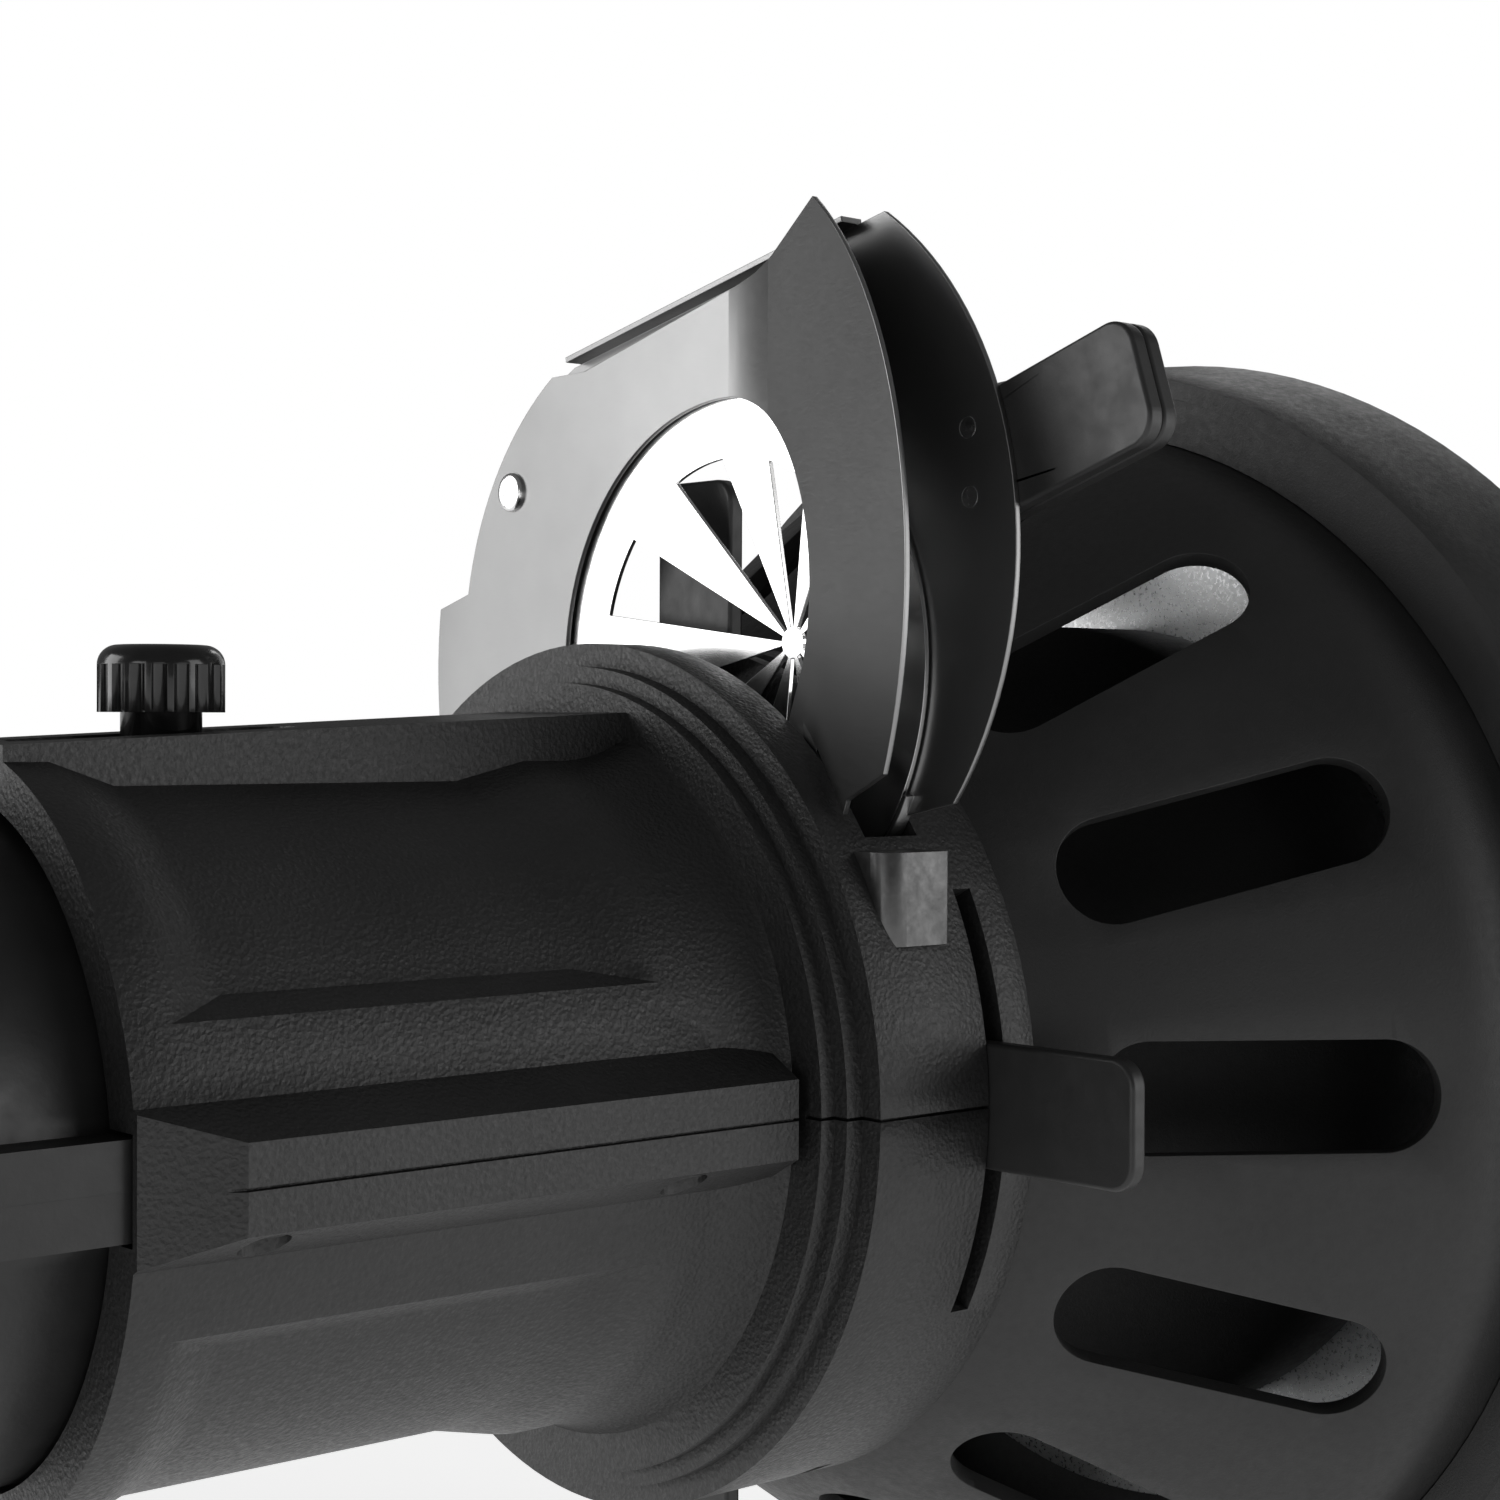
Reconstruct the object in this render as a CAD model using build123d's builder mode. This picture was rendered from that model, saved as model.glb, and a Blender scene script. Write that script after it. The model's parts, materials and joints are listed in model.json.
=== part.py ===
"""Beam-shaping attachment for a studio flash head: a vented cone, four framing shutters,
a lift-out pattern holder and a focusing lens tube, on a bayonet mounting ring.

Millimetres. The optical axis is X. The lamp side is +X, the light leaves towards -X, and +Z is up.
The origin is on the axis, in the rear face of the mounting ring.
"""
import os
from math import atan, cos, degrees, radians, sin, sqrt, tan

from build123d import *

os.makedirs("parts", exist_ok=True)

# ---------------------------------------------------------------- driving dimensions
drum_radius = 44.0            # outside of the shutter drum
drum_bore_radius = 41.0
drum_rear_x = -67.8
drum_front_x = -88.2          # front edge of the full drum radius
step_two_x = -90.1            # two smaller steps stand in front of the drum
step_one_x = -91.7
step_two_radius = 41.6
step_one_radius = 39.9
flare_radius = 36.1           # where the barrel meets the first step

barrel_front_x = -157.0
flare_start_x = -99.3
barrel_front_radius = 34.3
barrel_rear_radius = 34.0
tube_bore_radius = 30.2

bay_front_x = -84.0           # front wall of the bay for the pattern holder
gobo_slot_x = (-82.8, -76.0)  # slot over the top of the drum
gobo_slot_end_angle = 35.0    # degrees above the horizontal, at both ends
web_x = (-76.0, -75.1)        # thin wall between the pattern bay and the shutter bay
shutter_slot_x = (-74.2, -71.9)
shutter_slot_half_angle = 27.3
rear_wall_x = (-71.0, drum_rear_x)
gate_bore_radius = 30.0

ring_front_x = -20.1          # front edge of the big mounting ring
ring_front_radius = 77.7
ring_rear_radius = 80.0
cone_slope = 0.69             # growth of the cone's radius per millimetre of axis
cone_rim_radius = 70.4
cone_wall = 2.0
vent_count = 14
vent_width = 11.0
vent_x = (-63.1, -34.8)       # ends of a vent slot, along the axis

holder_tilt = 11.7            # lean of the pattern holder in its slot, degrees
gobo_centre_y = -10.56        # centre of the pattern disc with the holder lifted
gobo_centre_z = 41.8

tube_radius = 29.6
tube_inner_radius = 27.0
tube_front_x = -241.0
tube_rear_x = -103.0
thumbscrew_x = -136.6

slip = 0.05                   # radial play of a screw or pin in its hole


# ---------------------------------------------------------------- helpers
def on_axis(x, turn=0.0):
    """Plane across the axis at x. Its own x points to +Y turned towards +Z by turn degrees."""
    angle = radians(turn)
    return Plane(origin=(x, 0, 0), x_dir=(0, cos(angle), sin(angle)), z_dir=(1, 0, 0))


def save(part, name):
    """Label a finished piece and write its STEP file."""
    part.label = name
    export_step(part, f"parts/{name}.step")


def ring_bar(x_start, x_end, radius, bore=0.0):
    """Ring or disc about the optical axis."""
    with BuildPart() as bar:
        with BuildSketch(on_axis(x_start)):
            Circle(radius)
            if bore > 0:
                Circle(bore, mode=Mode.SUBTRACT)
        extrude(amount=x_end - x_start)
    return bar.part


def turned(points):
    """Solid of revolution about the optical axis from a closed run of (x, radius) points."""
    with BuildPart() as turning:
        with BuildSketch(Plane.XZ):
            with BuildLine():
                Polyline(*points, close=True)
            make_face()
        revolve(axis=Axis.X)
    return turning.part


def section_bar(x_start, x_end, points):
    """Straight bar along the axis with a section given as (y, z) points."""
    with BuildPart() as bar:
        with BuildSketch(on_axis(x_start)):
            with BuildLine():
                Polyline(*points, close=True)
            make_face()
        extrude(amount=x_end - x_start)
    return bar.part


def block(x_range, y_range, z_range):
    """Box between two corners."""
    y_low, y_high = y_range
    z_low, z_high = z_range
    return section_bar(*x_range, [(y_low, z_low), (y_high, z_low), (y_high, z_high), (y_low, z_high)])


def arc_slot(x_range, middle, half_angle, inner, outer):
    """Piece of a ring about the axis, half_angle degrees to each side of its middle."""
    side = radians(half_angle)
    near = (inner * cos(side), inner * sin(side))
    far = (outer * cos(side), outer * sin(side))
    with BuildPart() as slot:
        with BuildSketch(on_axis(x_range[0], middle)):
            with BuildLine():
                Line((near[0], -near[1]), (far[0], -far[1]))
                ThreePointArc((far[0], -far[1]), (outer, 0), far)
                Line(far, near)
                ThreePointArc(near, (inner, 0), (near[0], -near[1]))
            make_face()
        extrude(amount=x_range[1] - x_range[0])
    return slot.part


def screws(seats, shank, head, length, head_height):
    """Socket head screws. Each seat is a plane under the head that faces out of the head."""
    with BuildPart() as group:
        for seat in seats:
            with BuildSketch(seat):
                Circle(head)
            extrude(amount=head_height)
            with BuildSketch(seat.offset(head_height * 0.45)):
                RegularPolygon(head * 0.55, 6)
            extrude(amount=head_height, mode=Mode.SUBTRACT)
            with BuildSketch(seat):
                Circle(shank)
            extrude(amount=-length)
    return group.part


def screw_holes(seats, shank, length, head=0.0, pocket=0.0):
    """Holes for screws on the same seats, with a pocket for the head where one is wanted."""
    with BuildPart() as group:
        for seat in seats:
            with BuildSketch(seat.offset(pocket)):
                Circle(shank)
            extrude(amount=-length - pocket)
            if pocket > 0:
                with BuildSketch(seat):
                    Circle(head)
                extrude(amount=pocket)
    return group.part


def axial_seats(x, radius, angles, facing):
    """Screw seats on a circle about the axis. facing is +1 for heads towards the lamp."""
    return [
        Plane(origin=(x, radius * cos(radians(a)), radius * sin(radians(a))), z_dir=(facing, 0, 0))
        for a in angles
    ]


# ---------------------------------------------------------------- barrel and drum
rail_y = 38.5                 # outer face of the side rail
rail_half = 3.65
rail_root_half = 6.4
rail_root_y = 33.5
rail_end_x = -93.2
front_slope_length = 7.2
panel_floor_radius = 32.3     # sunk panels above and below the side rails
panel_floor_x = (-146.9, -111.9)
panel_slope = (0.33, 0.22)    # rise of a panel's front and rear end, per millimetre of axis
panel_ledge_point = (32.3, 12.2)
panel_ledge_slope = 0.58
panel_rim = 36.0              # radius that the panels' cutter reaches, clear of the barrel
key_y = 33.2                  # side key of the lens tube, in a channel behind the rail
key_half = 4.0
key_gap = 0.4
top_rail_half = 11.0
top_rail_front_z = 33.9
top_rail_rear_z = 36.9
seam_half = 0.15              # groove where the two shells meet
seam_depth = 0.8

clamp_bed_z = 33.0            # flat bed under the thumbscrew's neck
clamp_slot_x = (-152.0, -124.8)
clamp_slot_half = 2.3
clamp_bed_half = 4.1
neck_radius = 3.65
shank_radius = 2.0
shank_end_z = 22.6
knob_z = (36.7, 42.8)
knob_radius = 5.7
flute_count = 18
flute_height = 4.3

side_section = [(0, rail_root_half), (rail_root_y, rail_root_half), (rail_y, rail_half)]
side_section += [(y, -z) for y, z in reversed(side_section)]
far_side_section = [(-y, z) for y, z in side_section]

panel_climb = panel_rim - panel_floor_radius
ledge_peak = panel_ledge_point[1] + panel_ledge_point[0] * panel_ledge_slope
ledge_foot = ledge_peak - drum_radius * panel_ledge_slope

with BuildPart() as panels:
    add(
        turned(
            [
                (panel_floor_x[0], panel_floor_radius),
                (panel_floor_x[1], panel_floor_radius),
                (panel_floor_x[1] + panel_climb / panel_slope[1], panel_rim),
                (panel_floor_x[0] - panel_climb / panel_slope[0], panel_rim),
            ]
        )
    )
    with BuildSketch(on_axis(barrel_front_x - panel_rim)):
        for way in (1, -1):
            with BuildLine():
                Polyline(
                    (0, way * ledge_peak),
                    (drum_radius, way * ledge_foot),
                    (drum_radius, way * drum_radius),
                    (-drum_radius, way * drum_radius),
                    (-drum_radius, way * ledge_foot),
                    close=True,
                )
            make_face()
    extrude(amount=3 * panel_rim, mode=Mode.INTERSECT)

with BuildPart() as barrel_outside:
    with BuildSketch(Plane.XZ):
        with BuildLine():
            Polyline(
                (drum_rear_x, 0),
                (barrel_front_x, 0),
                (barrel_front_x, barrel_front_radius),
                (flare_start_x, barrel_rear_radius),
            )
            ThreePointArc(
                (flare_start_x, barrel_rear_radius), (-95.0, 34.7), (step_one_x, flare_radius)
            )
            Polyline(
                (step_one_x, flare_radius),
                (step_one_x, step_one_radius),
                (step_two_x, step_one_radius),
                (step_two_x, step_two_radius),
                (drum_front_x, step_two_radius),
                (drum_front_x, drum_radius),
                (drum_rear_x, drum_radius),
                (drum_rear_x, 0),
            )
        make_face()
    revolve(axis=Axis.X)
    add(panels.part, mode=Mode.SUBTRACT)
    with BuildSketch(Plane.XZ.offset(top_rail_half)):
        with BuildLine():
            Polyline(
                (barrel_front_x, 0),
                (barrel_front_x, top_rail_front_z),
                (step_one_x, top_rail_rear_z),
                (step_one_x, 0),
                close=True,
            )
        make_face()
    extrude(amount=-2 * top_rail_half)
    add(section_bar(barrel_front_x, rail_end_x, side_section))
    add(section_bar(barrel_front_x, rail_end_x, far_side_section))

with BuildPart() as front_slopes:
    for side in (1, -1):
        with BuildSketch(Plane.XY.offset(-drum_radius)):
            with BuildLine():
                Polyline(
                    (barrel_front_x - 1, side * barrel_front_radius),
                    (barrel_front_x, side * barrel_front_radius),
                    (barrel_front_x + front_slope_length, side * rail_y),
                    (barrel_front_x + front_slope_length, side * drum_radius),
                    (barrel_front_x - 1, side * drum_radius),
                    close=True,
                )
            make_face()
        extrude(amount=2 * drum_radius)

clamp_slot_middle = (clamp_slot_x[0] + clamp_slot_x[1]) / 2
clamp_slot_run = clamp_slot_x[1] - clamp_slot_x[0]

with BuildPart() as clamp_cut:
    with BuildSketch(Plane.XY.offset(clamp_bed_z)):
        with Locations((clamp_slot_middle, 0)):
            SlotOverall(clamp_slot_run + 2 * (clamp_bed_half - clamp_slot_half), 2 * clamp_bed_half)
    extrude(amount=top_rail_rear_z - clamp_bed_z)
    with BuildSketch(Plane.XY.offset(tube_inner_radius)):
        with Locations((clamp_slot_middle, 0)):
            SlotOverall(clamp_slot_run, 2 * clamp_slot_half)
    extrude(amount=top_rail_rear_z - tube_inner_radius)

# groove along the joint of the two shells: a thin plate with its middle left out
with BuildPart() as seam:
    with BuildSketch(Plane.XY.offset(-seam_half)):
        with Locations(((barrel_front_x + drum_rear_x) / 2, 0)):
            Rectangle(drum_rear_x - barrel_front_x, 2 * drum_radius)
        for x_start, x_end, reach in (
            (barrel_front_x, step_one_x + seam_depth, rail_y),
            (step_one_x + seam_depth, step_two_x + seam_depth, step_one_radius),
            (step_two_x + seam_depth, drum_front_x + seam_depth, step_two_radius),
            (drum_front_x + seam_depth, drum_rear_x, drum_radius),
        ):
            with Locations(((x_start + x_end) / 2, 0)):
                Rectangle(x_end - x_start, 2 * (reach - seam_depth), mode=Mode.SUBTRACT)
    extrude(amount=2 * seam_half)

shell_screw_seats = [
    Plane(origin=(x, side * 36.1, -2.4), z_dir=(0, 0, -1)) for x in (-147.0, -104.7) for side in (-1, 1)
]
cone_screw_angles = (45, 135, 225, 315)
cone_screw_radius = 37.0
cone_flange_x = (drum_rear_x, drum_rear_x + 2.2)
cell_flange_x = (cone_flange_x[1], cone_flange_x[1] + 2.0)
cone_screw_seats = axial_seats(cell_flange_x[1], cone_screw_radius, cone_screw_angles, 1)
cone_screw_length = 6.9

# block on the near side of the drum, under the end of the holder's slot
stop_x = (-85.0, -77.0)
stop_z = (15.3, 24.0)
stop_face_y = -41.5

with BuildPart() as slot_stop_block:
    with BuildSketch(Plane.XY.offset(stop_z[0])):
        with Locations(((stop_x[0] + stop_x[1]) / 2, stop_face_y + 5)):
            Rectangle(stop_x[1] - stop_x[0], 10)
    extrude(amount=stop_z[1] - stop_z[0])
    front_edges = slot_stop_block.edges().filter_by(Axis.Z).group_by(Axis.Y)[0].sort_by(Axis.X)
    fillet(front_edges[0], 2.4)
    fillet(front_edges[-1], 0.4)
    add(ring_bar(stop_x[0] - 1, stop_x[1] + 1, drum_radius - 1), mode=Mode.SUBTRACT)
save(slot_stop_block.part, "slot_stop_block")

with BuildPart() as shells:
    add(barrel_outside.part)
    add(front_slopes.part, mode=Mode.SUBTRACT)
    add(ring_bar(barrel_front_x, bay_front_x, tube_bore_radius), mode=Mode.SUBTRACT)
    add(
        block(
            (barrel_front_x, bay_front_x),
            (-key_y - key_gap, key_y + key_gap),
            (-key_half - key_gap, key_half + key_gap),
        ),
        mode=Mode.SUBTRACT,
    )
    add(ring_bar(bay_front_x, web_x[0], drum_bore_radius), mode=Mode.SUBTRACT)
    add(ring_bar(web_x[0], drum_rear_x, gate_bore_radius), mode=Mode.SUBTRACT)
    add(ring_bar(web_x[1], rear_wall_x[0], drum_bore_radius), mode=Mode.SUBTRACT)
    add(arc_slot(gobo_slot_x, 90, 90 - gobo_slot_end_angle, 36, 50), mode=Mode.SUBTRACT)
    for middle in (0, 90, 180, 270):
        add(arc_slot(shutter_slot_x, middle, shutter_slot_half_angle, 38, 48), mode=Mode.SUBTRACT)
    add(clamp_cut.part, mode=Mode.SUBTRACT)
    add(seam.part, mode=Mode.SUBTRACT)
    add(slot_stop_block.part, mode=Mode.SUBTRACT)
    add(screw_holes(shell_screw_seats, 1.0 + slip, 5.0, 2.1, 5.0), mode=Mode.SUBTRACT)
    add(screw_holes(cone_screw_seats, 1.5 + slip, cone_screw_length), mode=Mode.SUBTRACT)

with BuildPart() as upper_shell:
    add(shells.part)
    split(bisect_by=Plane.XY, keep=Keep.TOP)
save(upper_shell.part, "upper_shell")

with BuildPart() as lower_shell:
    add(shells.part)
    split(bisect_by=Plane.XY, keep=Keep.BOTTOM)
save(lower_shell.part, "lower_shell")

save(screws(shell_screw_seats, 1.0, 1.9, 4.8, 1.6), "shell_screws")

# ---------------------------------------------------------------- vented cone and mounting ring
cone_angle = degrees(atan(cone_slope))
cone_corner_x = drum_rear_x + (cone_rim_radius - drum_radius) / cone_slope
cone_inset = cone_wall / cos(radians(cone_angle))      # radial thickness of the sloping wall
cone_inner_rim = cone_rim_radius - cone_wall
inner_corner_x = drum_rear_x + (cone_inner_rim - drum_radius + cone_inset) / cone_slope
inner_flange_radius = drum_radius - cone_inset + cone_slope * (cone_flange_x[1] - drum_rear_x)
rim_bend = 12.0

front_wall_x = (-19.6, -16.6)  # wall of the mounting ring that the cone's rim passes
rim_flange_x = (front_wall_x[1], front_wall_x[1] + 2.0)
rim_flange_radius = 74.4
ring_bore_radius = 74.6

vent_middle_x = (vent_x[0] + vent_x[1]) / 2
vent_middle_radius = drum_radius + cone_slope * (vent_middle_x - drum_rear_x)
vent_length = (vent_x[1] - vent_x[0]) / cos(radians(cone_angle))

ring_screw_angles = [22.5 + 45 * k for k in range(8)]
ring_screw_seats = axial_seats(-2.4, 72.0, ring_screw_angles, 1)
ring_screw_length = 16.4


def vent_plane(turn):
    """Plane on the cone's surface at the middle of a vent, its own x up the slope."""
    slope = radians(cone_angle)
    y_out = cos(radians(turn))
    z_out = sin(radians(turn))
    return Plane(
        origin=(vent_middle_x, vent_middle_radius * y_out, vent_middle_radius * z_out),
        x_dir=(cos(slope), sin(slope) * y_out, sin(slope) * z_out),
        z_dir=(-sin(slope), cos(slope) * y_out, cos(slope) * z_out),
    )


with BuildPart() as vent_cone:
    with BuildSketch(Plane.XZ):
        with BuildLine():
            FilletPolyline(
                (drum_rear_x, drum_radius),
                (cone_corner_x, cone_rim_radius),
                (rim_flange_x[0], cone_rim_radius),
                radius=rim_bend,
            )
            Polyline(
                (rim_flange_x[0], cone_rim_radius),
                (rim_flange_x[0], rim_flange_radius),
                (rim_flange_x[1], rim_flange_radius),
                (rim_flange_x[1], cone_inner_rim),
            )
            FilletPolyline(
                (rim_flange_x[1], cone_inner_rim),
                (inner_corner_x, cone_inner_rim),
                (cone_flange_x[1], inner_flange_radius),
                radius=rim_bend - cone_wall,
            )
            Polyline(
                (cone_flange_x[1], inner_flange_radius),
                (cone_flange_x[1], gate_bore_radius),
                (cone_flange_x[0], gate_bore_radius),
                (drum_rear_x, drum_radius),
            )
        make_face()
    revolve(axis=Axis.X)
    for vent in range(vent_count):
        with BuildSketch(vent_plane(180 + vent * 360 / vent_count)):
            SlotOverall(vent_length, vent_width)
        extrude(amount=2 * cone_wall, both=True, mode=Mode.SUBTRACT)
    add(screw_holes(cone_screw_seats, 1.5 + slip, cone_screw_length), mode=Mode.SUBTRACT)
    add(screw_holes(ring_screw_seats, 1.25 + slip, ring_screw_length), mode=Mode.SUBTRACT)
save(vent_cone.part, "vent_cone")

with BuildPart() as mount_ring:
    add(
        turned(
            [
                (front_wall_x[0], cone_rim_radius + 0.15),
                (front_wall_x[0], ring_front_radius - 2.0),
                (ring_front_x, ring_front_radius - 2.0),
                (ring_front_x, ring_front_radius),
                (-1.0, ring_rear_radius),
                (0, ring_rear_radius - 0.8),
                (0, ring_bore_radius),
                (front_wall_x[1], ring_bore_radius),
                (front_wall_x[1], cone_rim_radius + 0.15),
            ]
        )
    )
    add(screw_holes(ring_screw_seats, 1.25 + slip, ring_screw_length), mode=Mode.SUBTRACT)
save(mount_ring.part, "mount_ring")

plate_x = -4.0                # front face of the rear plate
plate_bore_radius = 49.0
skirt_radius = 69.6
bayonet_bore_radius = 44.0
spigot_end_x = 9.0
lug_x = (5.5, 8.5)
lug_radius = 53.0
bayonet_flange_x = (plate_x - 3.0, plate_x)
bayonet_flange_radius = 58.0
bayonet_screw_seats = axial_seats(bayonet_flange_x[0], 53.5, [60 * k for k in range(6)], -1)

with BuildPart() as rear_plate:
    add(
        turned(
            [
                (plate_x, plate_bore_radius),
                (0, plate_bore_radius),
                (0, rim_flange_radius),
                (rim_flange_x[1], rim_flange_radius),
                (rim_flange_x[1], skirt_radius),
                (plate_x, skirt_radius),
            ]
        )
    )
    add(screw_holes(ring_screw_seats, 1.25 + slip, ring_screw_length, 2.15, 2.4), mode=Mode.SUBTRACT)
    add(screw_holes(bayonet_screw_seats, 1.25 + slip, 5.5), mode=Mode.SUBTRACT)
save(rear_plate.part, "rear_plate")

with BuildPart() as bayonet_ring:
    add(ring_bar(*bayonet_flange_x, bayonet_flange_radius, bayonet_bore_radius))
    add(ring_bar(bayonet_flange_x[1], spigot_end_x, plate_bore_radius - 0.1, bayonet_bore_radius))
    for middle in (90, 210, 330):
        add(arc_slot(lug_x, middle, 20, plate_bore_radius - 1, lug_radius))
    add(screw_holes(bayonet_screw_seats, 1.25 + slip, 5.5), mode=Mode.SUBTRACT)
save(bayonet_ring.part, "bayonet_ring")

save(screws(cone_screw_seats, 1.5, 2.75, cone_screw_length - 0.2, 3.0), "cone_screws")
save(screws(ring_screw_seats, 1.25, 2.1, ring_screw_length - 0.2, 2.2), "ring_screws")
save(screws(bayonet_screw_seats, 1.25, 2.25, 5.3, 2.5), "bayonet_screws")

# ---------------------------------------------------------------- condenser behind the gate
cell_neck_x = -54.0
cell_bore_radius = 28.5
funnel_x = -19.5              # where the funnel round the lamp's light turns straight
funnel_radius = 47.5
funnel_wall = 1.5
condenser_radius = 28.4
condenser_edge = 3.0
condenser_height = 9.0
condenser_ring_x = (-59.4, -57.0)

with BuildPart() as condenser_cell:
    add(
        turned(
            [
                (cell_flange_x[0], 26.5),
                (cell_flange_x[0], 42.0),
                (cell_flange_x[1], 42.0),
                (cell_flange_x[1], 31.0),
                (cell_neck_x, 31.0),
                (funnel_x, funnel_radius),
                (bayonet_flange_x[0], funnel_radius),
                (bayonet_flange_x[0], funnel_radius - funnel_wall),
                (funnel_x, funnel_radius - funnel_wall),
                (cell_neck_x, cell_bore_radius),
                (cell_flange_x[1], cell_bore_radius),
                (cell_flange_x[1], 26.5),
            ]
        )
    )
    add(screw_holes(cone_screw_seats, 1.5 + slip, cone_screw_length), mode=Mode.SUBTRACT)
save(condenser_cell.part, "condenser_cell")


def lens(x_centre, radius, edge, front_bulge, rear_bulge):
    """Round lens about the axis. A bulge of 0 leaves that side flat."""
    front = x_centre - edge / 2
    rear = x_centre + edge / 2
    with BuildPart() as glass:
        with BuildSketch(Plane.XZ):
            with BuildLine():
                if front_bulge > 0:
                    front_curve = (radius**2 + front_bulge**2) / (2 * front_bulge)
                    rise = front_curve - sqrt(front_curve**2 - radius**2 / 4)
                    ThreePointArc(
                        (front - front_bulge, 0), (front - front_bulge + rise, radius / 2), (front, radius)
                    )
                else:
                    Line((front, 0), (front, radius))
                Line((front, radius), (rear, radius))
                if rear_bulge > 0:
                    rear_curve = (radius**2 + rear_bulge**2) / (2 * rear_bulge)
                    rise = rear_curve - sqrt(rear_curve**2 - radius**2 / 4)
                    ThreePointArc(
                        (rear, radius), (rear + rear_bulge - rise, radius / 2), (rear + rear_bulge, 0)
                    )
                else:
                    Line((rear, radius), (rear, 0))
                Line((rear + rear_bulge, 0), (front - front_bulge, 0))
            make_face()
        revolve(axis=Axis.X)
    return glass.part


condenser_middle = cell_flange_x[1] + condenser_edge / 2
save(
    lens(condenser_middle, condenser_radius, condenser_edge, 0, condenser_height - condenser_edge),
    "condenser_lens",
)
save(ring_bar(*condenser_ring_x, cell_bore_radius, 26.8), "condenser_ring")

# ---------------------------------------------------------------- rotating shutter frame
front_guide_x = (-75.0, -74.3)
rear_guide_x = (-71.8, -71.15)
guide_radius = 40.4
guide_bore_radius = 24.0
spacer_circle = 38.0
spacer_radius = 1.6
rivet_radius = 1.0


def guide_plate(x_range):
    """Plate of the turning frame, with holes for its four rivets."""
    with BuildPart() as plate:
        with BuildSketch(on_axis(x_range[0])):
            Circle(guide_radius)
            Circle(guide_bore_radius, mode=Mode.SUBTRACT)
            with PolarLocations(spacer_circle, 4, start_angle=45):
                Circle(rivet_radius, mode=Mode.SUBTRACT)
        extrude(amount=x_range[1] - x_range[0])
    return plate.part


save(guide_plate(front_guide_x), "front_guide_plate")
save(guide_plate(rear_guide_x), "rear_guide_plate")

with BuildPart() as guide_spacers:
    with BuildSketch(on_axis(front_guide_x[1])):
        with PolarLocations(spacer_circle, 4, start_angle=45):
            Circle(spacer_radius)
    extrude(amount=rear_guide_x[0] - front_guide_x[1])
    with BuildSketch(on_axis(front_guide_x[0])):
        with PolarLocations(spacer_circle, 4, start_angle=45):
            Circle(rivet_radius)
    extrude(amount=rear_guide_x[1] - front_guide_x[0])
save(guide_spacers.part, "guide_spacers")

blade_edge = 23.5             # distance of a drawn-back blade's edge from the axis
blade_half_width = 24.0
blade_round = 39.0
blade_thickness = 0.5
upright_blade_x = -73.65      # top and bottom blades run in front of the side blades
side_blade_x = -72.95
tab_end = 52.0
tab_half = 4.2
handle_x = (-74.0, -72.1)
handle_start = 38.6
handle_end = 61.5
handle_half = 6.0


def shutter(name, turn, blade_x):
    """Framing blade and its handle, drawn out in the direction turn, from +Y towards +Z."""
    corner = sqrt(blade_round**2 - blade_half_width**2)
    with BuildPart() as blade:
        with BuildSketch(on_axis(blade_x, turn)):
            with BuildLine():
                Polyline(
                    (corner, -blade_half_width),
                    (blade_edge, -blade_half_width),
                    (blade_edge, blade_half_width),
                    (corner, blade_half_width),
                )
                ThreePointArc((corner, blade_half_width), (blade_round, 0), (corner, -blade_half_width))
            make_face()
            with Locations(((blade_round - 1 + tab_end) / 2, 0)):
                Rectangle(tab_end - blade_round + 1, 2 * tab_half)
        extrude(amount=blade_thickness)
    save(blade.part, f"{name}_shutter_blade")

    with BuildPart() as handle:
        with BuildSketch(on_axis(handle_x[0], turn)):
            with Locations(((handle_start + handle_end) / 2, 0)):
                RectangleRounded(handle_end - handle_start, 2 * handle_half, 2.6)
            with Locations((handle_start + 3, 0)):
                Rectangle(6, 2 * handle_half)
        extrude(amount=handle_x[1] - handle_x[0])
        rims = handle.faces().filter_by(Axis.X).edges()
        fillet(rims, 0.45)
        add(blade.part, mode=Mode.SUBTRACT)
    save(handle.part, f"{name}_shutter_handle")


shutter("far", 0, side_blade_x)
shutter("top", 90, upright_blade_x)
shutter("near", 180, side_blade_x)
shutter("bottom", 270, upright_blade_x)

# ---------------------------------------------------------------- pattern holder
back_sheet_x = (-76.8, -76.2)
sheet = 0.6
sheet_gap = 1.0               # room for the pattern disc between the two sheets
spring_sheet_x = back_sheet_x[0] - sheet_gap - sheet
disc_thickness = 0.5
disc_radius = 28.1
disc_seat_radius = 28.45
tongue_radius = 28.9
window_radius = 27.3
bend_y = -14.7                # upright line where the spring sheet turns towards the lens
bend_angle = 18.0
bend_radius = 24.0
top_lip_height = 2.7          # lip along the top of the back sheet, turned towards the lens
grip_layer = 1.85


def holder_plane(x):
    """Plane of the leaning holder at x, with its origin at the pattern's centre."""
    lean = radians(holder_tilt)
    return Plane(
        origin=(x, gobo_centre_y, gobo_centre_z), x_dir=(0, cos(lean), -sin(lean)), z_dir=(1, 0, 0)
    )


def far_edge():
    """Shared edge of both sheets on the far side, from the tongue up to the top edge."""
    tongue_end = (sqrt(tongue_radius**2 - 5.4**2), -5.4)
    Line(tongue_end, (51.8, -5.4))
    ThreePointArc((51.8, -5.4), (51.8, 5.5), (49.1, 17.5))
    Line((49.1, 17.5), (43.3, 17.9))
    ThreePointArc((43.3, 17.9), (35.5, 29.5), (22.8, 37.6))


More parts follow.
